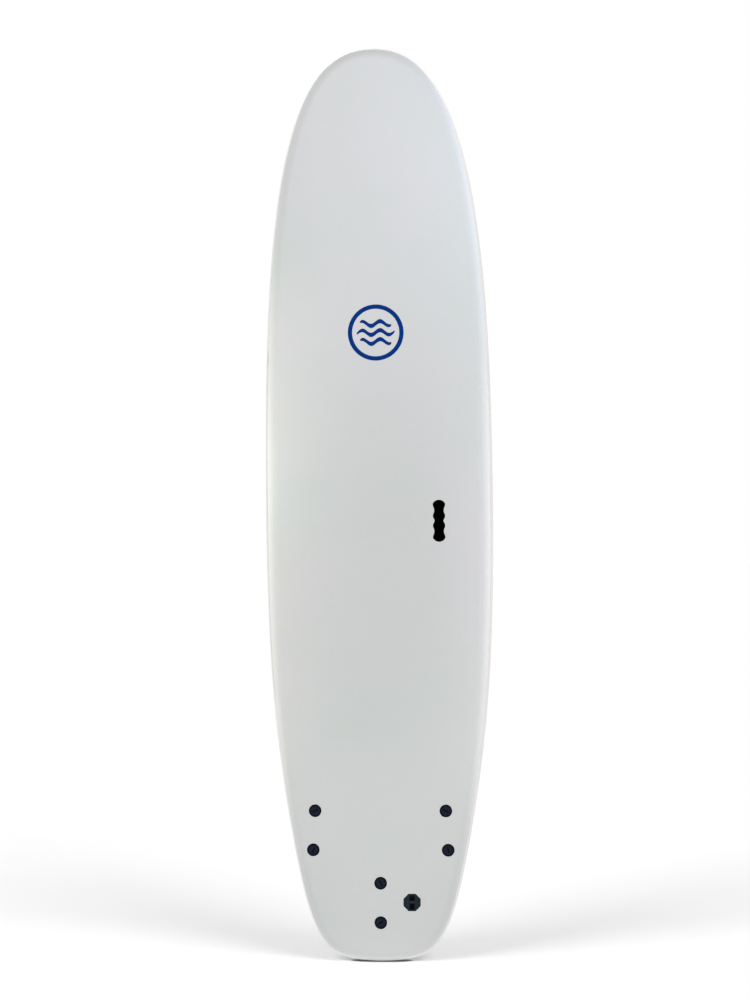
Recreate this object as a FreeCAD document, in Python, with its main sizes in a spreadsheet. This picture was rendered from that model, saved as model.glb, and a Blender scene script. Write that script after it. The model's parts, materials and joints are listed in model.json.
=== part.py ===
import FreeCAD, Part

import math
import os

import Sketcher

# A soft-top longboard with three bolt-on fins, standing on its tail.
# Millimetres. +Z runs from tail to nose, the deck faces -Y, the bottom and its fins face +Y.
# Left and right are as seen by someone who faces the deck: right is +X.

DIMENSIONS = {
    # Board: length, then the outline's control points from tail to nose, as half widths and heights
    "board_length": 2438,
    "tail_flat": 99,
    "corner_half": 174, "corner_height": 42,
    "hip_half": 231, "hip_height": 257,
    "aft_half": 303, "aft_height": 705,
    "wide_half": 311, "wide_height": 1282,
    "fore_half": 298, "fore_height": 1867,
    "shoulder_half": 223, "shoulder_height": 2302,
    "nose_flat": 105,
    # Rocker and thickness along the board, and the deck's crown across it
    "flat_height": 1000, "nose_rocker": 118, "nose_power": 2.6, "tail_rocker": 60, "tail_power": 2.2,
    "tail_thickness": 50, "mid_thickness": 83, "nose_thickness": 46,
    "thickest_height": 1180, "foil_power": 2.4, "crown_radius": 3400,
    "mid_level_share": 0.45, "stance": 38.414,
    # Rails: rounding of the deck's and bottom's edges, in the middle and at the two ends
    "deck_round_mid": 40, "deck_round_end": 27, "bottom_round_mid": 24, "bottom_round_end": 15,
    # Skins round the core, the seams between them, and the timber stringers in the core
    "deck_skin_thickness": 5, "rail_thickness": 5, "slick_thickness": 1.5,
    "deck_seam_inset": 6, "slick_seam_inset": 30,
    "stringer_thickness": 4, "stringer_spacing": 122,
    # Fin bolts: places of the fins, and the turned cup that lines each hole
    "centre_fin_height": 151, "side_fin_height": 344, "side_fin_half": 178.5, "toe_angle": 3.0,
    "post_spacing": 104.4,
    "cup_recess": 1, "flange_radius": 17, "flange_thickness": 2.5, "dimple_radius": 19,
    "cup_body_radius": 15, "cup_body_depth": 10, "tube_radius": 10, "tube_bore": 8.3, "tube_recess": 0.5,
    "head_bore": 12.6, "seat_depth": 5.6, "web_thickness": 4, "web_bore": 4.5,
    # Fin screws, their washers and the threaded inserts in the fins' posts
    "head_radius": 12.5, "head_thickness": 3.6, "head_drop": 0.5, "head_chamfer": 0.6,
    "slot_length": 17, "slot_width": 3.4, "slot_depth": 2.4,
    "shank_radius": 4, "thread_pitch": 1.25, "thread_turns": 10,
    "washer_radius": 11.5, "washer_bore": 4.5, "washer_thickness": 1.2, "washer_gap": 0.15,
    "insert_radius": 5.6, "insert_bore": 4.05, "insert_length": 20,
    # Fins
    "post_radius": 8, "post_length": 30, "post_bore_depth": 27, "fin_gap": 0.3,
    "base_length": 132, "base_width": 17, "base_thickness": 2.6, "base_end_radius": 8.51,
    "fin_depth": 112, "root_chord": 122, "lead_sweep": 135, "trail_sweep": 24, "trail_hook": 46,
    "root_thickness": 8, "tip_thickness": 3, "trail_thickness": 1.4, "cant_slope": 0.105,
    # Leash plug: eight-sided cup, its channel, bar, screw and the anchor under it
    "plug_half": 84, "plug_height": 159, "plug_recess": 0.6, "plug_width": 46,
    "plug_flange_thickness": 3.5, "plug_body_radius": 21.5, "plug_body_depth": 24, "plug_chamfer": 1.2,
    "channel_length": 37, "channel_width": 13.5, "channel_depth": 17,
    "bar_radius": 4.8, "bar_depth": 5.8, "bar_length": 26,
    "plug_screw_radius": 3, "plug_screw_head": 5.5, "plug_screw_head_thickness": 3.2,
    "plug_screw_length": 22, "anchor_radius": 8, "anchor_flange": 16, "anchor_flange_thickness": 2.5,
    "anchor_recess": 0.9,
    # Carrying grip: the tub let into the deck, with four finger bays down each side
    "grip_half": 164.5, "grip_height": 1177, "grip_recess": 0.3, "grip_depth": 40, "grip_floor": 2.5,
    "grip_wall": 2.2,
    # How far cutting tools and split planes run past the board
    "reach": 400, "overrun": 12, "past": 40, "face_tolerance": 3,
}

# Heights of the board's cross sections and depths of a fin's, as shares of its length or depth
STATION_SHARES = (0.06, 0.16, 0.31, 0.48, 0.66, 0.80, 0.90)
FIN_SHARES = (0, 0.25, 0.5, 0.75, 0.92, 1)

# How far the ends of the tail's and the nose's flats move inwards for each millimetre of inset
TAIL_FLAT_SHARE, NOSE_FLAT_SHARE = 0.3, 0.35

# A quarter of the grip's outline, from its middle to its tip: distance along it and half width.
# Arcs run through every other point, from the point before it to the point after it.
GRIP_WAVES = (
    (0, 12.2), (5.28, 13.88), (13.2, 16.4), (19.34, 14.95), (28.0, 12.9), (36.45, 14.85),
    (40.37, 16.23), (44.5, 16.7), (46.17, 16.46), (47.7, 15.77), (56.4, 0),
)

# Direction of each screw's slot, in degrees from +X towards +Z, with the screw tight
SLOT_ANGLES = {
    "left_front": 22, "left_rear": 75, "right_front": -28, "right_rear": 100,
    "centre_front": 118, "centre_rear": 36,
}


class Size:
    """A number that knows the spreadsheet expression it comes from."""

    def __init__(self, value, text):
        self.value = float(value)
        self.text = text

    def __add__(self, other):
        return Size(self.value + size(other).value, f"({self.text} + {size(other).text})")

    def __sub__(self, other):
        return Size(self.value - size(other).value, f"({self.text} - {size(other).text})")

    def __mul__(self, other):
        return Size(self.value * size(other).value, f"({self.text} * {size(other).text})")

    def __truediv__(self, other):
        return Size(self.value / size(other).value, f"({self.text} / {size(other).text})")

    def __pow__(self, other):
        return Size(self.value ** size(other).value, f"({self.text} ^ {size(other).text})")

    def __neg__(self):
        return Size(-self.value, f"(-1 * {self.text})")

    def __radd__(self, other):
        return size(other) + self

    def __rsub__(self, other):
        return size(other) - self

    def __rmul__(self, other):
        return size(other) * self


def size(number):
    return number if isinstance(number, Size) else Size(number, repr(float(number)))


def root(number):
    return Size(math.sqrt(number.value), f"sqrt({number.text})")


class Sheet:
    """The document's spreadsheet. An attribute of it is the Size in the cell of that alias."""

    def __init__(self, document):
        self.cells = document.addObject("Spreadsheet::Sheet", "spec")
        for row, (alias, value) in enumerate(DIMENSIONS.items(), start=1):
            self.cells.set(f"A{row}", alias.replace("_", " "))
            self.cells.set(f"B{row}", str(value))
            self.cells.setAlias(f"B{row}", alias)
        document.recompute()

    def __getattr__(self, alias):
        return Size(self.cells.get(alias), f"spec.{alias}")


doc = FreeCAD.newDocument("Surfboard")
dim = Sheet(doc)
pieces = []


# ---------------------------------------------------------------- helpers

def bind(obj, prop, value):
    """Bind a property or a named constraint of obj to a Size."""
    obj.setExpression(prop, size(value).text)


def finish(obj, label, placement=None):
    """Name a finished piece and put it on the list that is exported."""
    obj.Label = label
    if placement is not None:
        obj.Placement = placement
    pieces.append(obj)
    return obj


def arc_edge(a, b, radius):
    """Arc of a circle from a to b. A positive radius bulges to the right of the way from a to b."""
    chord = b - a
    half = chord.Length / 2
    rise = math.sqrt(radius ** 2 - half ** 2)
    left = FreeCAD.Vector(-chord.y, chord.x, 0) / chord.Length
    centre = (a + b) / 2 + left * math.copysign(rise, radius)
    start, end = (a, b) if radius > 0 else (b, a)
    angles = [math.atan2(p.y - centre.y, p.x - centre.x) for p in (start, end)]
    if angles[1] < angles[0]:
        angles[1] += 2 * math.pi
    circle = Part.Circle(centre, FreeCAD.Vector(0, 0, 1), abs(radius))
    return Part.ArcOfCircle(circle, *angles)


def draw(sketch, corners, bulges=None):
    """Closed outline through corners (x, y). bulges gives the signed radius of a side that is an arc."""
    bulges = bulges or {}
    points = [FreeCAD.Vector(size(x).value, size(y).value, 0) for x, y in corners]
    ends = []
    first = sketch.GeometryCount
    for side, start in enumerate(points):
        end = points[(side + 1) % len(points)]
        if side in bulges:
            radius = size(bulges[side])
            sketch.addGeometry(arc_edge(start, end, radius.value), False)
            ends.append((1, 2) if radius.value > 0 else (2, 1))
        else:
            sketch.addGeometry(Part.LineSegment(start, end), False)
            ends.append((1, 2))
    for side in range(len(points)):
        before = (side - 1) % len(points)
        sketch.addConstraint(Sketcher.Constraint(
            "Coincident", first + before, ends[before][1], first + side, ends[side][0]))
    for side, (x, y) in enumerate(corners):
        for kind, value in (("DistanceX", size(x)), ("DistanceY", size(y))):
            number = sketch.addConstraint(Sketcher.Constraint(
                kind, -1, 1, first + side, ends[side][0], value.value))
            bind(sketch, f"Constraints[{number}]", value)
    for side, radius in bulges.items():
        number = sketch.addConstraint(Sketcher.Constraint("Radius", first + side, abs(size(radius).value)))
        bind(sketch, f"Constraints[{number}]", radius if size(radius).value > 0 else -size(radius))


def draw_circle(sketch, x, y, radius):
    number = sketch.addGeometry(Part.Circle(
        FreeCAD.Vector(size(x).value, size(y).value, 0), FreeCAD.Vector(0, 0, 1), size(radius).value), False)
    for kind, value in (("DistanceX", size(x)), ("DistanceY", size(y))):
        placed = sketch.addConstraint(Sketcher.Constraint(kind, -1, 1, number, 3, value.value))
        bind(sketch, f"Constraints[{placed}]", value)
    sized = sketch.addConstraint(Sketcher.Constraint("Radius", number, size(radius).value))
    bind(sketch, f"Constraints[{sized}]", radius)


def new_body(name):
    return doc.addObject("PartDesign::Body", name)


def body_sketch(body, name, plane="XY_Plane", lift=0):
    """Sketch on one of the body's own origin planes, lifted along the plane's normal."""
    sketch = body.newObject("Sketcher::SketchObject", name)
    support = [f for f in body.Origin.OriginFeatures if f.Role == plane][0]
    sketch.AttachmentSupport = [(support, "")]
    sketch.MapMode = "FlatFace"
    bind(sketch, "AttachmentOffset.Base.z", lift)
    return sketch


def pad(body, sketch, name, length, downward=False):
    feature = body.newObject("PartDesign::Pad", name)
    feature.Profile = sketch
    bind(feature, "Length", length)
    feature.Reversed = downward
    return feature


def pocket(body, sketch, name, depth, upward=False):
    """Cut from the sketch into the body, downward unless upward is set, and prove that it cut."""
    doc.recompute()
    before = body.Shape.Volume
    feature = body.newObject("PartDesign::Pocket", name)
    feature.Profile = sketch
    bind(feature, "Length", depth)
    feature.Reversed = upward
    doc.recompute()
    if body.Shape.Volume > before - 0.1:
        raise RuntimeError(f"{body.Name}.{name} cut nothing")
    return feature


def turned(body, name, corners):
    """Revolve the half outline (radius, height) once round the body's own Z axis."""
    sketch = body_sketch(body, name + "_outline", "XZ_Plane")
    draw(sketch, corners)
    feature = body.newObject("PartDesign::Revolution", name)
    feature.Profile = sketch
    feature.ReferenceAxis = (sketch, ["V_Axis"])
    feature.Angle = 360
    return feature


def boolean(kind, name, *shapes):
    """Part::Cut or Part::Common of two objects, or Part::MultiFuse of many."""
    feature = doc.addObject(kind, name)
    if kind == "Part::MultiFuse":
        feature.Shapes = list(shapes)
    else:
        feature.Base, feature.Tool = shapes
    return feature


def frame_at(origin, x_axis, z_axis):
    """Placement whose own X and Z axes point along the two given directions."""
    y_axis = z_axis.cross(x_axis)
    matrix = FreeCAD.Matrix(
        x_axis.x, y_axis.x, z_axis.x, origin.x,
        x_axis.y, y_axis.y, z_axis.y, origin.y,
        x_axis.z, y_axis.z, z_axis.z, origin.z,
        0, 0, 0, 1)
    return FreeCAD.Placement(matrix)


def shift(x=0, y=0, z=0):
    return FreeCAD.Placement(FreeCAD.Vector(x, y, z), FreeCAD.Rotation())


def spin(axis, degrees):
    return FreeCAD.Placement(FreeCAD.Vector(), FreeCAD.Rotation(axis, degrees))


X_AXIS = FreeCAD.Vector(1, 0, 0)
Z_AXIS = FreeCAD.Vector(0, 0, 1)


# ---------------------------------------------------------------- the board's form

def bottom_line(height):
    """Y of the bottom's centreline at a height: flat amidships, curving to the deck side at both ends."""
    height = size(height)
    if height.value > dim.flat_height.value:
        share = (height - dim.flat_height) / (dim.board_length - dim.flat_height)
        return dim.stance - dim.nose_rocker * share ** dim.nose_power
    share = (dim.flat_height - height) / dim.flat_height
    return dim.stance - dim.tail_rocker * share ** dim.tail_power


def thickness(height):
    """Thickness on the centreline, which tapers to both ends."""
    height = size(height)
    if height.value > dim.thickest_height.value:
        share = (height - dim.thickest_height) / (dim.board_length - dim.thickest_height)
        end = dim.nose_thickness
    else:
        share = (dim.thickest_height - height) / dim.thickest_height
        end = dim.tail_thickness
    return end + (dim.mid_thickness - end) * (1 - share ** dim.foil_power)


def deck_line(height):
    return bottom_line(height) - thickness(height)


def crown_drop(half):
    """How far the deck has fallen away at this distance from the centreline."""
    return dim.crown_radius - root(dim.crown_radius ** 2 - size(half) ** 2)


def outline_poles(inset):
    """Control points (half width, height) of half the outline, moved inwards by inset."""
    corners = [(0, 0), (dim.tail_flat.value, 0)]
    for station in ("corner", "hip", "aft", "wide", "fore", "shoulder"):
        corners.append((getattr(dim, station + "_half").value, getattr(dim, station + "_height").value))
    top = dim.board_length.value
    corners += [(dim.nose_flat.value, top), (0, top)]
    moved = []
    for number, (half, height) in enumerate(corners):
        if number < 2:
            inward = (-TAIL_FLAT_SHARE * number, 1)
        elif number > len(corners) - 3:
            inward = (-NOSE_FLAT_SHARE * (len(corners) - 1 - number), -1)
        else:
            run = corners[number + 1][0] - corners[number - 1][0]
            rise = corners[number + 1][1] - corners[number - 1][1]
            inward = (-rise / math.hypot(run, rise), run / math.hypot(run, rise))
        moved.append((half + inward[0] * inset, height + inward[1] * inset))
    return moved


def outline_edges(inset, side):
    """The left (-1) or right (1) half of the outline, cut in two near the wide point."""
    poles = [FreeCAD.Vector(side * half, 0, height) for half, height in outline_poles(inset)]
    spans = len(poles) - 3
    curve = Part.BSplineCurve()
    curve.buildFromPolesMultsKnots(poles, [4] + [1] * (spans - 1) + [4], list(range(spans + 1)), False, 3)
    low, high = curve.FirstParameter, curve.LastParameter
    for _ in range(50):
        middle = (low + high) / 2
        if curve.value(middle).z < dim.board_length.value / 2:
            low = middle
        else:
            high = middle
    edges = []
    for ends in ((curve.FirstParameter, low), (low, curve.LastParameter)):
        part = curve.copy()
        part.segment(*ends)
        edges.append(part.toShape())
    return edges


def outline_prism(name, inset):
    """A block as wide as the outline and far thicker than the board."""
    profile = doc.addObject("Part::Feature", name + "_outline")
    edges = outline_edges(inset, 1) + outline_edges(inset, -1)
    profile.Shape = Part.Face(Part.Wire(Part.__sortEdges__(edges)))
    prism = doc.addObject("Part::Extrusion", name)
    prism.Base = profile
    prism.DirMode = "Custom"
    prism.Dir = FreeCAD.Vector(0, 1, 0)
    prism.Solid = True
    bind(prism, "LengthFwd", dim.reach)
    bind(prism, "LengthRev", dim.reach)
    return prism


def stations():
    """Heights of the cross sections, from past the tail to past the nose."""
    inner = [dim.board_length * share for share in STATION_SHARES]
    return [-dim.overrun] + inner + [dim.board_length + dim.overrun]


def slab(name, deck_face, bottom_face):
    """Loft through cross sections, wider than the board, between two faces given as Y at a height."""
    half = dim.wide_half + dim.past
    sections = []
    for number, height in enumerate(stations()):
        section = doc.addObject("Sketcher::SketchObject", f"{name}_section_{number}")
        bind(section, "Placement.Base.z", height)
        edge = deck_face(height) + crown_drop(half)
        draw(section, [(-half, bottom_face(height)), (-half, edge), (half, edge), (half, bottom_face(height))],
             {1: dim.crown_radius})
        sections.append(section)
    loft = doc.addObject("Part::Loft", name)
    loft.Sections = sections
    loft.Solid = True
    loft.Ruled = False
    return loft


def rounded(name, blank, is_edge, middle, end):
    """Round the long edges that is_edge picks, with a radius that grows from the ends to the middle."""
    fillet = doc.addObject("Part::Fillet", name)
    fillet.Base = blank
    radii = []
    for number, edge in enumerate(blank.Shape.Edges, start=1):
        point = edge.valueAt((edge.FirstParameter + edge.LastParameter) / 2)
        if abs(point.x) < 1 or not is_edge(point):
            continue
        starts_at_end = abs(edge.valueAt(edge.FirstParameter).x) < 1
        radii.append((number, end, middle) if starts_at_end else (number, middle, end))
    fillet.Edges = radii
    doc.recompute()
    return fillet


def board_solid(name, inset, deck_inset, bottom_inset, deck_round, bottom_round):
    """The board's form, or the same form drawn in on every side, with both rail edges rounded."""
    def deck_face(height):
        return deck_line(height) + deck_inset

    def bottom_face(height):
        return bottom_line(height) - bottom_inset

    form = slab(name + "_slab", deck_face, bottom_face)
    prism = outline_prism(name + "_prism", inset.value)
    blank = boolean("Part::Common", name + "_blank", form, prism)
    doc.recompute()

    def on_deck(point):
        face = deck_face(point.z).value + crown_drop(point.x).value
        return abs(point.y - face) < dim.face_tolerance.value

    def on_bottom(point):
        return abs(point.y - bottom_face(point.z).value) < dim.face_tolerance.value

    upper = rounded(name + "_deck_round", blank, on_deck, *deck_round)
    return rounded(name, upper, on_bottom, *bottom_round)


deck_rounds = (dim.deck_round_mid.value, dim.deck_round_end.value)
bottom_rounds = (dim.bottom_round_mid.value, dim.bottom_round_end.value)
rail = dim.rail_thickness.value
board = board_solid("board", size(0), size(0), size(0), deck_rounds, bottom_rounds)
core = board_solid("core", dim.rail_thickness, dim.deck_skin_thickness, dim.slick_thickness,
                   [r - rail for r in deck_rounds], [r - rail + 1 for r in bottom_rounds])


# ---------------------------------------------------------------- places of the fittings

def tangent_at(line, height):
    """Unit vector along the deck or bottom line at a height, pointing to the nose."""
    step = 0.5
    rise = line(height + step).value - line(height - step).value
    return FreeCAD.Vector(0, rise, 2 * step).normalize()


def deck_frame(half, height, recess):
    """On the deck, sunk by recess: own Z out of the deck, own X towards the nose."""
    along = tangent_at(deck_line, height)
    across = FreeCAD.Vector(dim.crown_radius.value, half, 0).normalize()
    outward = across.cross(along)
    if outward.y > 0:
        outward = -outward
    origin = FreeCAD.Vector(half, deck_line(height).value + crown_drop(half).value, height)
    return frame_at(origin - outward * recess, along, outward)


def fin_frame(half, height, toe):
    """On the bottom: own Z out of the bottom, own X towards the nose, turned in by toe degrees."""
    along = tangent_at(bottom_line, height)
    outward = X_AXIS.cross(along) * -1
    origin = FreeCAD.Vector(half, bottom_line(height).value, height)
    return frame_at(origin, along, outward) * spin(Z_AXIS, toe)


def depth_to_deck(frame, along):
    """Distance from the bottom to the deck, straight through the board, at a point of a fin's frame."""
    low, high = 0.0, 2 * dim.mid_thickness.value
    for _ in range(50):
        middle = (low + high) / 2
        point = frame.multVec(FreeCAD.Vector(along, 0, -middle))
        inside = point.y > deck_line(point.z).value + crown_drop(point.x).value
        low, high = (middle, high) if inside else (low, middle)
    return low


# ---------------------------------------------------------------- fin bolts

def bolt_cup(name, place, depth):
    """Flanged cup and tube that lines a bolt hole, open from the deck to the bottom."""
    body = new_body("cup_" + name)
    web_top = -dim.seat_depth
    web_under = web_top - dim.web_thickness
    turned(body, "turned", [
        (dim.head_bore, web_top), (dim.web_bore, web_top), (dim.web_bore, web_under),
        (dim.tube_bore, web_under), (dim.tube_bore, -depth), (dim.tube_radius, -depth),
        (dim.tube_radius, -dim.cup_body_depth), (dim.cup_body_radius, -dim.cup_body_depth),
        (dim.cup_body_radius, -dim.flange_thickness), (dim.flange_radius, -dim.flange_thickness),
        (dim.flange_radius, -dim.head_chamfer), (dim.flange_radius - dim.head_chamfer, 0),
        (dim.head_bore + dim.head_chamfer, 0), (dim.head_bore, -dim.head_chamfer)])
    return finish(body, "cup_" + name, place)


def bolt_hole(name, place):
    """What the cup's outside takes out of the skins and the core, with a dimple round its flange."""
    body = new_body("hole_" + name)
    turned(body, "turned", [
        (0, dim.past), (0, -dim.mid_thickness), (dim.tube_radius, -dim.mid_thickness),
        (dim.tube_radius, -dim.cup_body_depth), (dim.cup_body_radius, -dim.cup_body_depth),
        (dim.cup_body_radius, -dim.flange_thickness), (dim.flange_radius, -dim.flange_thickness),
        (dim.flange_radius, 0), (dim.dimple_radius, 2 * dim.cup_recess),
        (dim.dimple_radius, dim.past)])
    body.Placement = place
    return body


def fin_screw(name, place, length):
    """Wide slotted head on a plain shank that stands for the threaded one."""
    body = new_body("screw_" + name)
    top = -dim.head_drop
    under = top - dim.head_thickness
    turned(body, "turned", [
        (0, top), (0, under - length), (dim.shank_radius - dim.head_chamfer, under - length),
        (dim.shank_radius, under - length + dim.head_chamfer), (dim.shank_radius, under),
        (dim.head_radius, under), (dim.head_radius, top - dim.head_chamfer),
        (dim.head_radius - dim.head_chamfer, top)])
    slot = body_sketch(body, "slot_outline", lift=top)
    half, wide = dim.slot_length * 0.5, dim.slot_width * 0.5
    draw(slot, [(-half, -wide), (half, -wide), (half, wide), (-half, wide)])
    pocket(body, slot, "slot", dim.slot_depth)
    quarter_turn = 90
    return finish(body, "screw_" + name, place * spin(Z_AXIS, SLOT_ANGLES[name] - quarter_turn))


def bolt_washer(name, place):
    body = new_body("washer_" + name)
    low = -dim.seat_depth + dim.washer_gap
    high = low + dim.washer_thickness
    turned(body, "turned", [(dim.washer_bore, low), (dim.washer_radius, low),
                            (dim.washer_radius, high), (dim.washer_bore, high)])
    return finish(body, "washer_" + name, place)


def post_insert(name, place):
    """Threaded brass insert, let into the end of a fin's post."""
    body = new_body("insert_" + name)
    turned(body, "turned", [(dim.insert_bore, 0), (dim.insert_bore, -dim.insert_length),
                            (dim.insert_radius, -dim.insert_length), (dim.insert_radius, 0)])
    return finish(body, "insert_" + name, place)


def bolt_set(name, frame, along):
    """Everything that holds one post of a fin. Returns the cutting tool for its hole."""
    depth = depth_to_deck(frame, along) - dim.cup_recess.value
    place = frame * shift(along, 0, -depth) * spin(X_AXIS, 180)
    post_end = depth - dim.post_length.value + dim.fin_gap.value
    engaged = dim.thread_pitch * dim.thread_turns
    head_under = dim.head_drop + dim.head_thickness
    bolt_cup(name, place, size(depth) - dim.tube_recess)
    bolt_washer(name, place)
    fin_screw(name, place, size(post_end) + engaged - head_under)
    post_insert(name, place * shift(0, 0, -post_end))
    return bolt_hole(name, place)


# ---------------------------------------------------------------- fins

def fin(name, place, cant):
    """Foiled blade on a rounded base, with two posts that reach up into the board.

    Own Z is down the blade's depth and own X is forward. cant leans the blade sideways.
    """
    body = new_body("fin_" + name)
    level = dim.fin_gap
    base = body_sketch(body, "base_outline", lift=level)
    end, side = (dim.base_length - dim.base_width) * 0.5, dim.base_width * 0.5
    draw(base, [(-end, -side), (end, -side), (end, side), (-end, side)],
         {1: dim.base_end_radius, 3: dim.base_end_radius})
    pad(body, base, "base", dim.base_thickness)
    sections = []
    for number, share in enumerate(FIN_SHARES):
        lead = dim.root_chord * 0.5 - dim.lead_sweep * share ** 2
        trail = dim.root_chord * -0.5 + dim.trail_sweep * share - dim.trail_hook * share ** 3
        thick = dim.root_thickness + (dim.tip_thickness - dim.root_thickness) * share
        chord = lead - trail
        aside = dim.fin_depth * cant * share
        edge = dim.trail_thickness * 0.5
        swell = thick * 0.5 - edge * 0.5
        bulge = (chord ** 2 * 0.25 + swell ** 2) / (swell * 2)
        section = body_sketch(body, f"section_{number}", lift=level + dim.fin_depth * share)
        draw(section, [(trail, aside - edge), (lead, aside), (trail, aside + edge)],
             {0: bulge, 1: bulge})
        sections.append(section)
    blade = body.newObject("PartDesign::AdditiveLoft", "blade")
    blade.Profile = sections[0]
    blade.Sections = sections[1:]
    blade.Ruled = False
    posts = body_sketch(body, "post_outlines", lift=level)
    bores = body_sketch(body, "bore_outlines", lift=level - dim.post_length)
    pilots = body_sketch(body, "pilot_outlines", lift=level - dim.post_length)
    for sign in (-1, 1):
        along = dim.post_spacing * (0.5 * sign)
        draw_circle(posts, along, 0, dim.post_radius)
        draw_circle(bores, along, 0, dim.insert_radius)
        draw_circle(pilots, along, 0, dim.web_bore)
    pad(body, posts, "posts", dim.post_length, downward=True)
    pocket(body, bores, "insert_bores", dim.insert_length, upward=True)
    pocket(body, pilots, "screw_tip_bores", dim.post_bore_depth, upward=True)
    return finish(body, "fin_" + name, place)


holes = []
for fin_name, half, height, toe, cant in (
        ("centre", 0, dim.centre_fin_height.value, 0, size(0)),
        ("left", -dim.side_fin_half.value, dim.side_fin_height.value, dim.toe_angle.value, -dim.cant_slope),
        ("right", dim.side_fin_half.value, dim.side_fin_height.value, -dim.toe_angle.value, dim.cant_slope)):
    frame = fin_frame(half, height, toe)
    fin(fin_name, frame, cant)
    holes.append(bolt_set(fin_name + "_front", frame, dim.post_spacing.value / 2))
    holes.append(bolt_set(fin_name + "_rear", frame, -dim.post_spacing.value / 2))


# ---------------------------------------------------------------- leash plug

def octagon(sketch, width):
    """Regular eight-sided outline, width across its flats, with a flat on each side."""
    half = width * 0.5
    part = half * math.tan(math.pi / 8)
    draw(sketch, [(half, -part), (half, part), (part, half), (-part, half),
                  (-half, part), (-half, -part), (-part, -half), (part, -half)])


def leash_plug(place):
    """Eight-sided cup with a deep channel up its middle, bored across for the bar."""
    body = new_body("leash_plug")
    shoulder = body_sketch(body, "shoulder_outline")
    octagon(shoulder, dim.plug_width)
    flange = pad(body, shoulder, "shoulder", dim.plug_flange_thickness, downward=True)
    doc.recompute()
    rim = body.newObject("PartDesign::Chamfer", "rim_chamfer")
    top_edges = [f"Edge{n}" for n, e in enumerate(flange.Shape.Edges, start=1)
                 if abs(e.BoundBox.ZMin) < 0.01 and abs(e.BoundBox.ZMax) < 0.01]
    rim.Base = (flange, top_edges)
    bind(rim, "Size", dim.plug_chamfer)
    barrel = body_sketch(body, "barrel_outline", lift=-dim.plug_flange_thickness)
    draw_circle(barrel, 0, 0, dim.plug_body_radius)
    pad(body, barrel, "barrel", dim.plug_body_depth - dim.plug_flange_thickness, downward=True)
    channel = body_sketch(body, "channel_outline")
    long, wide = dim.channel_length * 0.5, dim.channel_width * 0.5
    draw(channel, [(-long, -wide), (long, -wide), (long, wide), (-long, wide)])
    pocket(body, channel, "channel", dim.channel_depth)
    head = body_sketch(body, "head_outline", lift=-dim.channel_depth)
    draw_circle(head, 0, 0, dim.plug_screw_head)
    pocket(body, head, "head_bore", dim.plug_screw_head_thickness)
    shank = body_sketch(body, "shank_outline", lift=-dim.channel_depth)
    draw_circle(shank, 0, 0, dim.plug_screw_radius)
    pocket(body, shank, "shank_bore", dim.past)
    doc.recompute()
    before = body.Shape.Volume
    across = body_sketch(body, "bar_outline", "XZ_Plane")
    draw_circle(across, 0, -dim.bar_depth, dim.bar_radius)
    bore = body.newObject("PartDesign::Pocket", "bar_bore")
    bore.Profile = across
    bore.Midplane = True
    bind(bore, "Length", dim.bar_length)
    doc.recompute()
    if body.Shape.Volume > before - 1:
        raise RuntimeError("the bar's bore cut nothing")
    return finish(body, "leash_plug", place)


def leash_bar(place):
    bar = doc.addObject("Part::Cylinder", "leash_bar")
    bind(bar, "Radius", dim.bar_radius)
    bind(bar, "Height", dim.bar_length)
    centred = shift(0, 0, -dim.bar_depth.value) * spin(X_AXIS, 90) * shift(0, 0, -dim.bar_length.value / 2)
    return finish(bar, "leash_bar", place * centred)


def leash_screw(place):
    body = new_body("leash_screw")
    top = -dim.channel_depth
    under = top - dim.plug_screw_head_thickness
    turned(body, "turned", [
        (0, top), (0, under - dim.plug_screw_length), (dim.plug_screw_radius, under - dim.plug_screw_length),
        (dim.plug_screw_radius, under), (dim.plug_screw_head, under), (dim.plug_screw_head, top)])
    return finish(body, "leash_screw", place)


def leash_anchor(place, depth):
    """Flanged post that comes up from the bottom and takes the plug's screw."""
    body = new_body("leash_anchor")
    top, end = -dim.plug_body_depth, -depth
    shelf = end + dim.anchor_flange_thickness
    turned(body, "turned", [
        (dim.plug_screw_radius, top), (dim.plug_screw_radius, shelf), (0, shelf), (0, end),
        (dim.anchor_flange, end), (dim.anchor_flange, shelf), (dim.anchor_radius, shelf),
        (dim.anchor_radius, top)])
    return finish(body, "leash_anchor", place)


def leash_hole(place, depth):
    body = new_body("hole_leash")
    mouth = body_sketch(body, "mouth_outline", lift=-dim.plug_flange_thickness)
    octagon(mouth, dim.plug_width)
    pad(body, mouth, "mouth", dim.past)
    turned(body, "turned", [
        (0, 0), (0, -depth - dim.past), (dim.anchor_flange, -depth - dim.past),
        (dim.anchor_flange, -depth + dim.anchor_flange_thickness),
        (dim.anchor_radius, -depth + dim.anchor_flange_thickness),
        (dim.anchor_radius, -dim.plug_body_depth), (dim.plug_body_radius, -dim.plug_body_depth),
        (dim.plug_body_radius, 0)])
    body.Placement = place
    return body


plug_place = deck_frame(dim.plug_half.value, dim.plug_height.value, dim.plug_recess.value)
plug_through = size(thickness(dim.plug_height).value - crown_drop(dim.plug_half).value
                    - dim.plug_recess.value) - dim.anchor_recess
leash_plug(plug_place)
leash_bar(plug_place)
leash_screw(plug_place)
leash_anchor(plug_place, plug_through)
holes.append(leash_hole(plug_place, plug_through))


# ---------------------------------------------------------------- carrying grip

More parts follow.
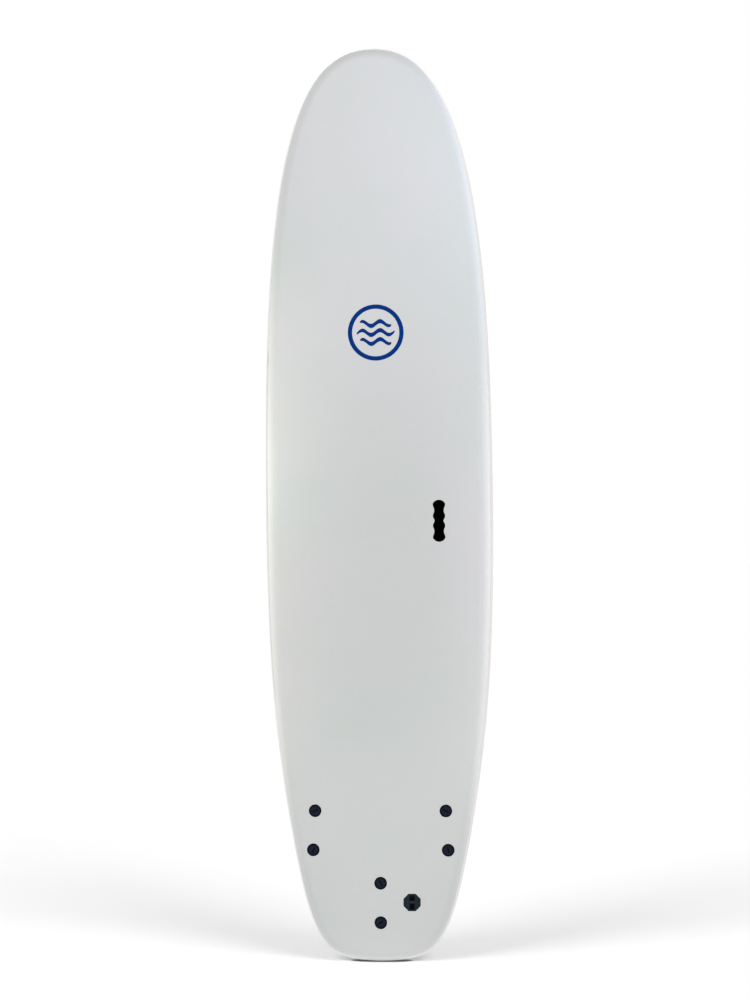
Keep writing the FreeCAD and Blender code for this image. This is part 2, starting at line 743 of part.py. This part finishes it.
def grip_outline(sketch, inset):
    """Long slot with wavy sides, drawn in by inset, as arcs through three points each."""
    half = list(GRIP_WAVES) + [(along, -wide) for along, wide in reversed(GRIP_WAVES[:-1])]
    ring = half + [(-along, -wide) for along, wide in half[1:-1]]
    moved = []
    for number, (along, wide) in enumerate(ring):
        before, after = ring[number - 1], ring[(number + 1) % len(ring)]
        run, rise = after[0] - before[0], after[1] - before[1]
        step = inset / math.hypot(run, rise)
        moved.append(FreeCAD.Vector(along + rise * step, wide - run * step, 0))
    for number in range(0, len(moved), 2):
        sketch.addGeometry(Part.Arc(moved[number - 1], moved[number], moved[number + 1]), False)


def carrying_grip(place):
    """Tub with finger bays, open to the deck."""
    body = new_body("grip_insert")
    outside = body_sketch(body, "outside")
    grip_outline(outside, 0)
    pad(body, outside, "tub", dim.grip_depth, downward=True)
    inside = body_sketch(body, "inside")
    grip_outline(inside, dim.grip_wall.value)
    pocket(body, inside, "hollow", dim.grip_depth - dim.grip_floor)
    return finish(body, "grip_insert", place)


def grip_hole(place):
    body = new_body("hole_grip")
    outline = body_sketch(body, "outline", lift=-dim.grip_depth)
    grip_outline(outline, 0)
    pad(body, outline, "block", dim.grip_depth + dim.past)
    body.Placement = place
    return body


grip_place = deck_frame(dim.grip_half.value, dim.grip_height.value, dim.grip_recess.value)
carrying_grip(grip_place)
holes.append(grip_hole(grip_place))
doc.recompute()
fitting_holes = boolean("Part::MultiFuse", "fitting_holes", *holes)


# ---------------------------------------------------------------- skins, rails, core and stringers

def upright_slice(name, low, high):
    """Block between two planes of constant X, running past the board everywhere else."""
    block = doc.addObject("Part::Box", name)
    bind(block, "Length", high - low)
    bind(block, "Width", dim.reach * 2)
    bind(block, "Height", dim.board_length + dim.overrun * 4)
    bind(block, "Placement.Base.x", low)
    bind(block, "Placement.Base.y", -dim.reach)
    bind(block, "Placement.Base.z", dim.overrun * -2)
    return block


def drilled(label, solid):
    """A piece of the board, less the holes of the fittings."""
    return finish(boolean("Part::Cut", label, solid, fitting_holes), label)


mid_level = slab("upper_slab", lambda height: deck_line(height) - dim.past,
                 lambda height: bottom_line(height) - thickness(height) * dim.mid_level_share)
deck_zone = boolean("Part::Common", "deck_zone",
                    outline_prism("deck_prism", dim.deck_seam_inset.value), mid_level)
slick_zone = boolean("Part::Cut", "slick_zone",
                     outline_prism("slick_prism", dim.slick_seam_inset.value), mid_level)
shell = boolean("Part::Cut", "shell", board, core)
drilled("deck_skin", boolean("Part::Common", "deck_sheet", shell, deck_zone))
drilled("bottom_slick", boolean("Part::Common", "bottom_sheet", shell, slick_zone))
rail_ring = boolean("Part::Cut", "rail_ring", boolean("Part::Cut", "shell_edge", shell, deck_zone), slick_zone)

wide = dim.wide_half + dim.past
for side, low, high in (("left", -wide, size(0)), ("right", size(0), wide)):
    half_space = upright_slice("half_" + side, low, high)
    finish(boolean("Part::Common", "rail_" + side, rail_ring, half_space), "rail_" + side)

half_stringer = dim.stringer_thickness * 0.5
inner_edge, outer_edge = dim.stringer_spacing - half_stringer, dim.stringer_spacing + half_stringer
for label, low, high in (
        ("core_left_outer", -wide, -outer_edge),
        ("stringer_left", -outer_edge, -inner_edge),
        ("core_left_inner", -inner_edge, -half_stringer),
        ("stringer_centre", -half_stringer, half_stringer),
        ("core_right_inner", half_stringer, inner_edge),
        ("stringer_right", inner_edge, outer_edge),
        ("core_right_outer", outer_edge, wide)):
    slice_of_core = boolean("Part::Common", label + "_slice", core, upright_slice(label + "_span", low, high))
    drilled(label, slice_of_core)


# ---------------------------------------------------------------- check and write

doc.recompute()
failed = [o.Name for o in doc.Objects if "Invalid" in o.State or "Error" in o.State]
if failed:
    raise RuntimeError("failed objects: " + ", ".join(failed))
os.makedirs("parts", exist_ok=True)
for piece in pieces:
    shape = piece.Shape
    if shape.isNull() or not shape.isValid() or not shape.Solids:
        raise RuntimeError(f"{piece.Label} has no valid solid")
    shape.exportStep(f"parts/{piece.Label}.step")
    print(f"{piece.Label}: {len(shape.Solids)} solid(s), {shape.Volume / 1000:.2f} cm3")
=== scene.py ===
import json
import math

import bmesh
import bpy
from mathutils import Matrix, Vector
from mathutils.bvhtree import BVHTree


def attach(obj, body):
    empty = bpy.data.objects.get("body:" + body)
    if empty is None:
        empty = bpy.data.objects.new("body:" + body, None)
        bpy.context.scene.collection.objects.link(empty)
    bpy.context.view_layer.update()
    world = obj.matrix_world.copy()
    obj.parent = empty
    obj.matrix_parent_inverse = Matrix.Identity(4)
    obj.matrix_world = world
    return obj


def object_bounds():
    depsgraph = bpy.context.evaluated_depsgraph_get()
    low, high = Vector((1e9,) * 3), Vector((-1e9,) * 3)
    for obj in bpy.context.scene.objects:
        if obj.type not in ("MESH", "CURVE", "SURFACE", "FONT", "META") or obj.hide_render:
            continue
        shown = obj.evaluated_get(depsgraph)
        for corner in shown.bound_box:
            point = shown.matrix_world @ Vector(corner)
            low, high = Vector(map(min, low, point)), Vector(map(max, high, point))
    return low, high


# A soft-top longboard standing on its tail. Metres. The deck faces -Y and the fins face +Y.

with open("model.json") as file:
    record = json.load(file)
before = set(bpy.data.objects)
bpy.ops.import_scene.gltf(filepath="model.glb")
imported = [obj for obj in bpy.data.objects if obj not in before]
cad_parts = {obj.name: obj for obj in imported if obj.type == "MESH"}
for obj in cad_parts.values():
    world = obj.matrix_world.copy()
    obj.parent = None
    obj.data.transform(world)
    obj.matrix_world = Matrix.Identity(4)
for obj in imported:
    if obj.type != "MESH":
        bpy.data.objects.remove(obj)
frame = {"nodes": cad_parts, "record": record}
cad_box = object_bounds()
low, high = cad_box
LENGTH = high.z - low.z
MM = 0.001

# ---------------------------------------------------------------- camera and light

CAMERA_DISTANCE = 6.0
CAMERA_YAW = 4.8
CAMERA_PITCH = -0.6
CAMERA_ROLL = -0.52
CAMERA_TARGET = Vector((-0.0073, -0.04, 1.2343))
CAMERA_LENS = 80.4
SENSOR = 36.0


def camera():
    data = bpy.data.cameras.new("camera")
    data.lens = CAMERA_LENS
    data.sensor_width = SENSOR
    data.clip_end = 100
    made = bpy.data.objects.new("camera", data)
    bpy.context.scene.collection.objects.link(made)
    yaw, pitch = math.radians(CAMERA_YAW), math.radians(CAMERA_PITCH)
    back = Vector((math.sin(yaw) * math.cos(pitch), -math.cos(yaw) * math.cos(pitch), math.sin(pitch)))
    made.location = CAMERA_TARGET + back * CAMERA_DISTANCE
    roll = Matrix.Rotation(math.radians(CAMERA_ROLL), 4, "Z")
    aim = (-back).to_track_quat("-Z", "Y").to_matrix().to_4x4()
    made.matrix_world = Matrix.Translation(made.location) @ aim @ roll
    bpy.context.scene.camera = made


def add_light(name, kind, power, colour, place, target):
    data = bpy.data.lights.new(name, kind)
    data.energy = power
    data.color = colour
    made = bpy.data.objects.new(name, data)
    bpy.context.scene.collection.objects.link(made)
    made.location = place
    made.rotation_euler = (Vector(target) - Vector(place)).to_track_quat("-Z", "Y").to_euler()
    made.visible_camera = False
    return made


def sun(name, azimuth, elevation, strength, spread=30):
    """Azimuth 0 shines along +Y on to the deck, and 90 shines along -X."""
    a, e = math.radians(azimuth), math.radians(elevation)
    back = Vector((math.sin(a) * math.cos(e), -math.cos(a) * math.cos(e), math.sin(e)))
    made = add_light(name, "SUN", strength, (1, 1, 1), back, (0, 0, 0))
    made.data.angle = math.radians(spread)
    return made


def softbox(name, place, target, width, height, power, colour=(1, 1, 1)):
    made = add_light(name, "AREA", power, colour, place, target)
    made.data.shape = "RECTANGLE"
    made.data.size, made.data.size_y = width, height
    return made


def light_only(lights, things, state):
    """Each light falls on these things alone (INCLUDE), or on everything but them (EXCLUDE)."""
    group = bpy.data.collections.new("lit_" + state.lower())
    for number, thing in enumerate(things):
        group.objects.link(thing)
        group.collection_objects[number].light_linking.link_state = state
    for light in lights:
        light.light_linking.receiver_collection = group


def shadows_from(lights, things):
    """Only things stand in the way of these lights."""
    blockers = bpy.data.collections.new("in_the_way")
    for thing in things:
        blockers.objects.link(thing)
    for light in lights:
        light.light_linking.blocker_collection = blockers


def room():
    """Even white surroundings, which the camera sees as white."""
    world = bpy.data.worlds.new("studio")
    bpy.context.scene.world = world
    world.use_nodes = True
    nodes, links = world.node_tree.nodes, world.node_tree.links
    nodes.clear()
    fill, seen = nodes.new("ShaderNodeBackground"), nodes.new("ShaderNodeBackground")
    fill.inputs["Color"].default_value = (1, 1, 1, 1)
    fill.inputs["Strength"].default_value = 0.65
    seen.inputs["Color"].default_value = (1, 1, 1, 1)
    seen.inputs["Strength"].default_value = 1.0
    path, mix = nodes.new("ShaderNodeLightPath"), nodes.new("ShaderNodeMixShader")
    out = nodes.new("ShaderNodeOutputWorld")
    links.new(path.outputs["Is Camera Ray"], mix.inputs[0])
    links.new(fill.outputs[0], mix.inputs[1])
    links.new(seen.outputs[0], mix.inputs[2])
    links.new(mix.outputs[0], out.inputs["Surface"])
    view = bpy.context.scene.view_settings
    view.view_transform = "Standard"
    view.look = "None"


def studio(deck_pieces, rail_pieces, floor_piece):
    """Suns from both sides for everything but the deck, and softboxes close round the deck."""
    room()
    keys = [sun("key_left", -46, 42, 1.15), sun("key_right", 46, 42, 1.15)]
    light_only(keys, deck_pieces, "EXCLUDE")
    back = [sun("back_left", -140, 35, 0.7), sun("back_right", 140, 35, 0.7)]
    light_only(back, [floor_piece], "EXCLUDE")
    boxes = [
        softbox("edge_left", (-0.50, -0.15, 0.92), (-0.10, -0.04, 0.92), 0.10, 0.95, 0.83, WARM),
        softbox("edge_right", (0.50, -0.15, 0.98), (0.10, -0.04, 0.98), 0.10, 1.15, 1.12),
        softbox("upper_left", (-0.50, -0.20, 1.50), (-0.05, -0.06, 1.50), 0.12, 0.60, 0.66, WARM),
        softbox("upper_right", (0.50, -0.20, 1.90), (0.05, -0.06, 1.90), 0.12, 0.70, 0.30, WARM),
        softbox("nose_right", (0.90, -0.55, 2.20), (0.00, -0.08, 2.20), 0.50, 0.60, 4.40, COOL),
        softbox("nose_front", (-0.20, -1.60, 2.30), (0.00, -0.08, 2.05), 0.80, 0.80, 17.0),
        softbox("tail_front", (0.00, -1.20, 0.20), (0.00, -0.05, 0.20), 0.80, 0.40, 8.0),
    ]
    light_only(boxes, deck_pieces, "INCLUDE")
    bounce = softbox("tail_bounce", (0.00, -0.14, -0.16), (0.00, -0.06, 0.00), 0.40, 0.05, 0.17)
    light_only([bounce], [*deck_pieces, *rail_pieces], "INCLUDE")
    shadows_from([bounce], deck_pieces)


WARM = (1.06, 1.04, 0.90)
COOL = (0.84, 0.93, 1.23)


# ---------------------------------------------------------------- materials

class Paint:
    """A Principled material under construction. Coordinates are the object's own, in metres."""

    def __init__(self, name, colour, roughness, **constants):
        self.material = bpy.data.materials.new(name)
        self.material.use_nodes = True
        self.nodes = self.material.node_tree.nodes
        self.links = self.material.node_tree.links
        self.shader = self.nodes["Principled BSDF"]
        self.shader.inputs["Base Color"].default_value = (*colour, 1)
        self.shader.inputs["Roughness"].default_value = roughness
        for socket, value in constants.items():
            self.shader.inputs[socket.replace("_", " ")].default_value = value
        self.place = self.nodes.new("ShaderNodeTexCoord").outputs["Object"]
        self.normal = None

    def stretched(self, scale):
        mapping = self.nodes.new("ShaderNodeMapping")
        mapping.inputs["Scale"].default_value = scale
        self.links.new(self.place, mapping.inputs["Vector"])
        return mapping.outputs["Vector"]

    def noise(self, per_metre, detail=2.0, roughness=0.5, distortion=0.0, scale=(1, 1, 1)):
        node = self.nodes.new("ShaderNodeTexNoise")
        node.inputs["Scale"].default_value = per_metre
        node.inputs["Detail"].default_value = detail
        node.inputs["Roughness"].default_value = roughness
        node.inputs["Distortion"].default_value = distortion
        self.links.new(self.stretched(scale), node.inputs["Vector"])
        return node.outputs["Fac"]

    def cells(self, per_metre, feature="F1", scale=(1, 1, 1)):
        node = self.nodes.new("ShaderNodeTexVoronoi")
        node.feature = feature
        node.inputs["Scale"].default_value = per_metre
        self.links.new(self.stretched(scale), node.inputs["Vector"])
        return node.outputs["Distance"]

    def ramp(self, value, stops):
        """Colour or grey along value: stops are (position, colour)."""
        node = self.nodes.new("ShaderNodeValToRGB")
        points = node.color_ramp.elements
        points[0].position, points[1].position = stops[0][0], stops[-1][0]
        points[0].color, points[1].color = (*stops[0][1], 1), (*stops[-1][1], 1)
        for position, colour in stops[1:-1]:
            points.new(position).color = (*colour, 1)
        self.links.new(value, node.inputs["Fac"])
        return node.outputs["Color"]

    def span(self, value, low_end, high_end, low_in=0.0, high_in=1.0):
        node = self.nodes.new("ShaderNodeMapRange")
        node.inputs["From Min"].default_value = low_in
        node.inputs["From Max"].default_value = high_in
        node.inputs["To Min"].default_value = low_end
        node.inputs["To Max"].default_value = high_end
        self.links.new(value, node.inputs["Value"])
        return node.outputs["Result"]

    def tint(self, colour, factor, kind="MULTIPLY", amount=1.0):
        """colour mixed with factor, both sockets."""
        node = self.nodes.new("ShaderNodeMix")
        node.data_type = "RGBA"
        node.blend_type = kind
        node.inputs["Factor"].default_value = amount
        self.links.new(colour, node.inputs["A"])
        self.links.new(factor, node.inputs["B"])
        return node.outputs["Result"]

    def colour(self, socket):
        self.links.new(socket, self.shader.inputs["Base Color"])
        return self

    def rough(self, socket):
        self.links.new(socket, self.shader.inputs["Roughness"])
        return self

    def facing_out(self, face, side, face_from=-0.97, side_from=-0.90):
        """Painted light by facing: face where the surface looks out of the deck (along -Y), side where it slopes
        away.
        """
        parts = self.nodes.new("ShaderNodeSeparateXYZ")
        self.links.new(self.place.node.outputs["Normal"], parts.inputs["Vector"])
        return self.ramp(self.span(parts.outputs["Y"], 1.0, 0.0, face_from, side_from), [(0.0, side), (1.0, face)])

    def painted_recess_shade(self, reach, dark, colour, shut=0.72, clear=0.95, own_mesh=True):
        """Painted shade: colour, falling to dark in grooves and corners narrower than reach metres."""
        shade = self.nodes.new("ShaderNodeAmbientOcclusion")
        shade.only_local = own_mesh
        shade.inputs["Distance"].default_value = reach
        open_share = self.span(shade.outputs["AO"], 0.0, 1.0, shut, clear)
        node = self.nodes.new("ShaderNodeMix")
        node.data_type = "RGBA"
        node.inputs["A"].default_value = (*dark, 1)
        self.links.new(open_share, node.inputs["Factor"])
        self.links.new(colour, node.inputs["B"])
        return node.outputs["Result"]

    def bump(self, height, depth, strength=1.0):
        """Relief of depth metres from a height of 0 to 1, on top of any relief already there."""
        node = self.nodes.new("ShaderNodeBump")
        node.inputs["Strength"].default_value = strength
        node.inputs["Distance"].default_value = depth
        self.links.new(height, node.inputs["Height"])
        if self.normal is not None:
            self.links.new(self.normal, node.inputs["Normal"])
        self.normal = node.outputs["Normal"]
        self.links.new(self.normal, self.shader.inputs["Normal"])
        return self


def grey(level):
    return (level, level, level)


def deck_foam():
    """Embossed closed-cell foam sheet: faint warm and cool clouds, fine pebbled grain, and a painted highlight
    that makes it paler where it slopes away over the edge."""
    paint = Paint("deck_foam", (0.395, 0.403, 0.403), 0.75, Specular_IOR_Level=0.25)
    clouds = paint.ramp(paint.noise(2.2, 3), [(0.3, (0.463, 0.494, 0.480)), (0.5, (0.490, 0.500, 0.497)),
                                              (0.7, (0.508, 0.501, 0.511))])
    grain = paint.ramp(paint.noise(420, 3, 0.6), [(0.3, grey(0.95)), (0.7, grey(1.0))])
    # Painted highlight: the foam is made paler where its face slopes away over the edge.
    edge_highlight = paint.facing_out(grey(0.8), grey(1.0), -0.95, -0.66)
    paint.colour(paint.tint(paint.tint(clouds, grain), edge_highlight))
    paint.rough(paint.span(paint.noise(35, 4), 0.62, 0.8))
    paint.bump(paint.cells(520, "SMOOTH_F1"), 0.00022)
    paint.bump(paint.noise(9, 2), 0.0012, 0.35)
    return paint.material


def rail_foam():
    paint = Paint("rail_foam", (0.69, 0.68, 0.66), 0.55)
    paint.colour(paint.ramp(paint.noise(6, 3), [(0.3, (0.67, 0.66, 0.635)), (0.7, (0.71, 0.70, 0.685))]))
    paint.rough(paint.span(paint.noise(60, 3), 0.45, 0.62))
    paint.bump(paint.cells(700, "SMOOTH_F1"), 0.00012)
    return paint.material


def slick():
    """High-density sheet: glossy, with a slow ripple and fine lengthwise scuffs."""
    paint = Paint("slick", (0.70, 0.71, 0.72), 0.25, Coat_Weight=0.25, Coat_Roughness=0.12)
    scuffs = paint.noise(90, 5, 0.65, 0.0, (1, 1, 0.04))
    paint.colour(paint.ramp(paint.noise(5, 3), [(0.3, (0.68, 0.695, 0.705)), (0.7, (0.72, 0.725, 0.73))]))
    paint.rough(paint.span(scuffs, 0.16, 0.42))
    paint.bump(paint.noise(14, 2), 0.0010, 0.4)
    paint.bump(scuffs, 0.00004)
    return paint.material


def moulded(name, colour, roughness, gloss=0.2, grain=1400, depth=0.00004):
    """Moulded plastic with a fine spark-eroded grain."""
    paint = Paint(name, colour, roughness, Specular_IOR_Level=gloss)
    paint.colour(paint.ramp(paint.noise(70, 4, 0.6), [(0.3, tuple(c * 0.8 for c in colour)),
                                                      (0.7, tuple(c * 1.25 for c in colour))]))
    paint.rough(paint.span(paint.noise(260, 3), roughness - 0.08, roughness + 0.1))
    paint.bump(paint.noise(grain, 2), depth)
    return paint.material


def screw_head():
    """Moulded nylon with a fine grain, darkened down in the slot by painted shade."""
    base = (0.0072, 0.0112, 0.0215)
    paint = Paint("screw_plastic", base, 0.5, Specular_IOR_Level=0.06)
    tone = paint.ramp(paint.noise(90, 4, 0.6), [(0.3, tuple(c * 0.85 for c in base)),
                                                (0.7, tuple(c * 1.2 for c in base))])
    # Painted shade: the colour falls to near black down in the slot.
    paint.colour(paint.painted_recess_shade(8 * MM, (0.0002, 0.0003, 0.0005), tone, 0.80, 0.97))
    paint.rough(paint.span(paint.noise(260, 3), 0.42, 0.6))
    paint.bump(paint.noise(1400, 2), 0.00004)
    return paint.material


def plug_plastic():
    """Moulded nylon with a satin teal-black face, and painted shade darkening the bevels where they slope away."""
    paint = Paint("plug_plastic", (0.008, 0.015, 0.021), 0.5, Specular_IOR_Level=0.10)
    # Painted shade: the bevels are darkened by the way they face, and the face keeps the plastic's colour.
    faces = paint.facing_out((0.0082, 0.0162, 0.0225), (0.0008, 0.0014, 0.0022))
    paint.colour(paint.tint(faces, paint.ramp(paint.noise(120, 4, 0.6), [(0.3, grey(0.85)), (0.7, grey(1.0))])))
    paint.rough(paint.span(paint.noise(260, 3), 0.42, 0.6))
    paint.bump(paint.noise(1400, 2), 0.00004)
    return paint.material


def core_foam():
    paint = Paint("core_foam", (0.83, 0.83, 0.80), 0.9)
    beads = paint.cells(240)
    paint.colour(paint.ramp(beads, [(0.0, (0.86, 0.86, 0.84)), (0.8, (0.72, 0.72, 0.69))]))
    paint.bump(beads, 0.0006)
    return paint.material


def timber():
    paint = Paint("timber", (0.55, 0.36, 0.19), 0.6)
    grain = paint.noise(60, 6, 0.6, 0.4, (1, 1, 0.05))
    paint.colour(paint.ramp(grain, [(0.3, (0.40, 0.24, 0.11)), (0.55, (0.58, 0.38, 0.20)),
                                    (0.8, (0.70, 0.50, 0.29))]))
    paint.rough(paint.span(grain, 0.5, 0.7))
    paint.bump(grain, 0.0002)
    return paint.material


def metal(name, colour, roughness):
    paint = Paint(name, colour, roughness, Metallic=1.0)
    marks = paint.noise(900, 4, 0.6)
    paint.rough(paint.span(marks, roughness - 0.08, roughness + 0.12))
    paint.bump(marks, 0.00002)
    return paint.material


def ink():
    """Blue deck print, worn a little thin where the foam's grain stands up."""
    paint = Paint("deck_ink", (0.0002, 0.0185, 0.122), 0.5, Specular_IOR_Level=0.02)
    paint.colour(paint.ramp(paint.noise(500, 3, 0.6), [(0.25, (0.0001, 0.0170, 0.115)),
                                                       (0.75, (0.0004, 0.0205, 0.132))]))
    paint.rough(paint.span(paint.noise(260, 3), 0.42, 0.6))
    paint.bump(paint.cells(520, "SMOOTH_F1"), 0.0001)
    return paint.material


def floor_paint():
    paint = Paint("floor", (0.9, 0.9, 0.9), 0.9)
    tone = paint.ramp(paint.noise(2, 2), [(0.3, grey(0.895)), (0.7, grey(0.905))])
    # Painted contact shadow: the floor is darkened close round where the board stands on it.
    paint.colour(paint.painted_recess_shade(9 * MM, grey(0.2), tone, 0.45, 0.95, own_mesh=False))
    return paint.material


def weld():
    """Foam melted along a seam: greyer and glossier than the sheets it joins."""
    paint = Paint("weld", (0.55, 0.54, 0.52), 0.35)
    paint.colour(paint.ramp(paint.noise(40, 3), [(0.3, (0.51, 0.50, 0.48)), (0.7, (0.59, 0.58, 0.56))]))
    paint.bump(paint.noise(300, 2), 0.0001)
    return paint.material


FINISHES = {
    "deck_foam": deck_foam(),
    "rail_foam": rail_foam(),
    "slick": slick(),
    "core_foam": core_foam(),
    "timber": timber(),
    "fitting_plastic": moulded("fitting_plastic", (0.0020, 0.0036, 0.0075), 0.55, 0.06),
    "screw_plastic": screw_head(),
    "washer_rubber": moulded("washer_rubber", (0.012, 0.012, 0.013), 0.75),
    "fin_plastic": moulded("fin_plastic", (0.010, 0.012, 0.016), 0.38, 0.5, 700, 0.00008),
    "grip_plastic": moulded("grip_plastic", (0.0004, 0.0004, 0.0005), 0.6, 0.02),
    "brass": metal("brass", (0.78, 0.56, 0.24), 0.3),
    "plug_plastic": plug_plastic(),
    "steel": metal("steel", (0.029, 0.030, 0.040), 0.5),
}


def paint_frame():
    slots = {}
    for row in frame["record"]["materials"]:
        for node in row.get("nodes", []):
            slots[node] = row["slot"]
    for name, node in frame["nodes"].items():
        worn = node.material_slots[0].material.name
        slot = "plug_plastic" if name == "leash_plug" else slots.get(name, worn)
        node.data.materials.clear()
        node.data.materials.append(FINISHES[slot])


# ---------------------------------------------------------------- pieces on the deck

def tree_of(name):
    mesh = frame["nodes"][name].data
    return BVHTree.FromPolygons([v.co for v in mesh.vertices], [p.vertices for p in mesh.polygons])


DECK = tree_of("deck_skin")


def on_deck(x, z, lift):
    """Point on the deck's face, and its normal, lifted towards the viewer."""
    hit, normal, _, _ = DECK.ray_cast(Vector((x, low.y - 1, z)), Vector((0, 1, 0)))
    if normal.y > 0:
        normal = -normal
    return hit + normal * lift


def add_piece(name, mesh, material, body="board"):
    made = bpy.data.objects.new(name, mesh)
    bpy.context.scene.collection.objects.link(made)
    made.data.materials.append(material)
    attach(made, body)
    return made


def ribbon(name, inner, outer, closed):
    """Thin print on the deck between two lines of (x, z) points with as many points each."""
    film = 0.12 * MM
    build = bmesh.new()
    rows = []
    for a, b in zip(inner, outer):
        steps = 4
        cross = [(a[0] + (b[0] - a[0]) * k / steps, a[1] + (b[1] - a[1]) * k / steps) for k in range(steps + 1)]
        rows.append([build.verts.new(on_deck(x, z, film)) for x, z in cross])
        rows[-1] += [build.verts.new(on_deck(x, z, -film)) for x, z in reversed(cross)]
    pairs = list(zip(rows, rows[1:]))
    if closed:
        pairs.append((rows[-1], rows[0]))
    for one, two in pairs:
        for k in range(len(one)):
            following = (k + 1) % len(one)
            build.faces.new((one[k], one[following], two[following], two[k]))
    if not closed:
        build.faces.new(list(reversed(rows[0])))
        build.faces.new(rows[-1])
    bmesh.ops.recalc_face_normals(build, faces=build.faces)
    mesh = bpy.data.meshes.new(name)
    build.to_mesh(mesh)
    build.free()
    for face in mesh.polygons:
        face.use_smooth = True
    return add_piece(name, mesh, INK)


INK = ink()
MARK_CENTRE = (0.0, 1.683)
MARK_RADIUS = 0.075
MARK_LINE = 0.0115
MARK_WAVES = 3


def deck_mark():
    """Generic roundel: a ring round three wave lines."""
    cx, cz = MARK_CENTRE
    turn = [2 * math.pi * k / 96 for k in range(96)]
    ring = [[(cx + r * math.cos(t), cz + r * math.sin(t)) for t in turn]
            for r in (MARK_RADIUS - MARK_LINE, MARK_RADIUS)]
    made = [ribbon("deck_mark_ring", *ring, closed=True)]
    clear = MARK_RADIUS - MARK_LINE * 2
    for number in range(MARK_WAVES):
        level = (number - (MARK_WAVES - 1) / 2) * 0.024
        reach = math.sqrt(clear ** 2 - (abs(level) + 0.006) ** 2)
        centre = [-reach + 2 * reach * k / 60 for k in range(61)]
        lines = []
        for side in (-1, 1):
            line = []
            for x in centre:
                taper = math.sqrt(max(0.0, 1 - (x / reach) ** 2)) ** 0.6
                height = level + 0.0062 * math.sin(2 * math.pi * x / 0.048)
                line.append((cx + x, cz + height + side * (MARK_LINE / 2 * taper + 0.0002)))
            lines.append(line)
        made.append(ribbon(f"deck_mark_wave_{number + 1}", *lines, closed=False))
    return made


# ---------------------------------------------------------------- seams

SEAM_RADIUS = 0.7 * MM


def seam_loop(name, outward):
    """Corner line round a sheet where its face (normal along outward Y) meets its own cut edge."""
    mesh = frame["nodes"][name].data
    build = bmesh.new()
    build.from_mesh(mesh)
    bmesh.ops.remove_doubles(build, verts=build.verts, dist=0.01 * MM)
    build.normal_update()
    rim = []
    for edge in build.edges:
        if len(edge.link_faces) != 2:
            continue
        facing = sorted(abs(face.normal.y) for face in edge.link_faces)
        front = max(edge.link_faces, key=lambda face: face.normal.y * outward)
        if facing[0] < 0.02 and front.normal.y * outward > 0.05:
            rim.append(edge)
    at = {}
    for edge in rim:
        for vert in edge.verts:
            at.setdefault(vert, []).append(edge)
    loops, left = [], set(rim)
    while left:
        edge = left.pop()
        start, vert = edge.verts
        line = [start.co.copy(), vert.co.copy()]
        while vert is not start:
            following = [e for e in at[vert] if e in left]
            if not following:
                break
            left.discard(following[0])
            vert = following[0].other_vert(vert)
            line.append(vert.co.copy())
        loops.append(line)
    build.free()
    return max(loops, key=lambda line: sum((b - a).length for a, b in zip(line, line[1:])))


def seam_bead(name, sheet, outward, material):
    """Thin welded bead along the seam between a sheet and the rail foam."""
    line = seam_loop(sheet, outward)[:-1]
    build = bmesh.new()
    rings, sides = [], 6
    for k, point in enumerate(line):
        along = (line[(k + 1) % len(line)] - line[k - 1]).normalized()
        across = along.cross(Vector((0, 1, 0))).normalized()
        up = across.cross(along)
        turn = [2 * math.pi * n / sides for n in range(sides)]
        rings.append([build.verts.new(point + (across * math.cos(t) + up * math.sin(t)) * SEAM_RADIUS)
                      for t in turn])
    for one, two in zip(rings, rings[1:] + rings[:1]):
        for n in range(sides):
            build.faces.new((one[n], one[(n + 1) % sides], two[(n + 1) % sides], two[n]))
    bmesh.ops.recalc_face_normals(build, faces=build.faces)
    mesh = bpy.data.meshes.new(name)
    build.to_mesh(mesh)
    build.free()
    for face in mesh.polygons:
        face.use_smooth = True
    return add_piece(name, mesh, material)


# ---------------------------------------------------------------- floor

def floor():
    build = bmesh.new()
    bmesh.ops.create_circle(build, cap_ends=True, radius=60, segments=64)
    mesh = bpy.data.meshes.new("floor")
    build.to_mesh(mesh)
    build.free()
    made = bpy.data.objects.new("floor", mesh)
    bpy.context.scene.collection.objects.link(made)
    made.location.z = low.z - 0.2 * MM
    made.data.materials.append(floor_paint())
    return made


camera()
paint_frame()
mark = deck_mark()
seam_weld = weld()
seam_bead("deck_seam_bead", "deck_skin", -1, seam_weld)
seam_bead("slick_seam_bead", "bottom_slick", 1, seam_weld)
studio([frame["nodes"]["deck_skin"], *mark], [frame["nodes"]["rail_left"], frame["nodes"]["rail_right"]], floor())
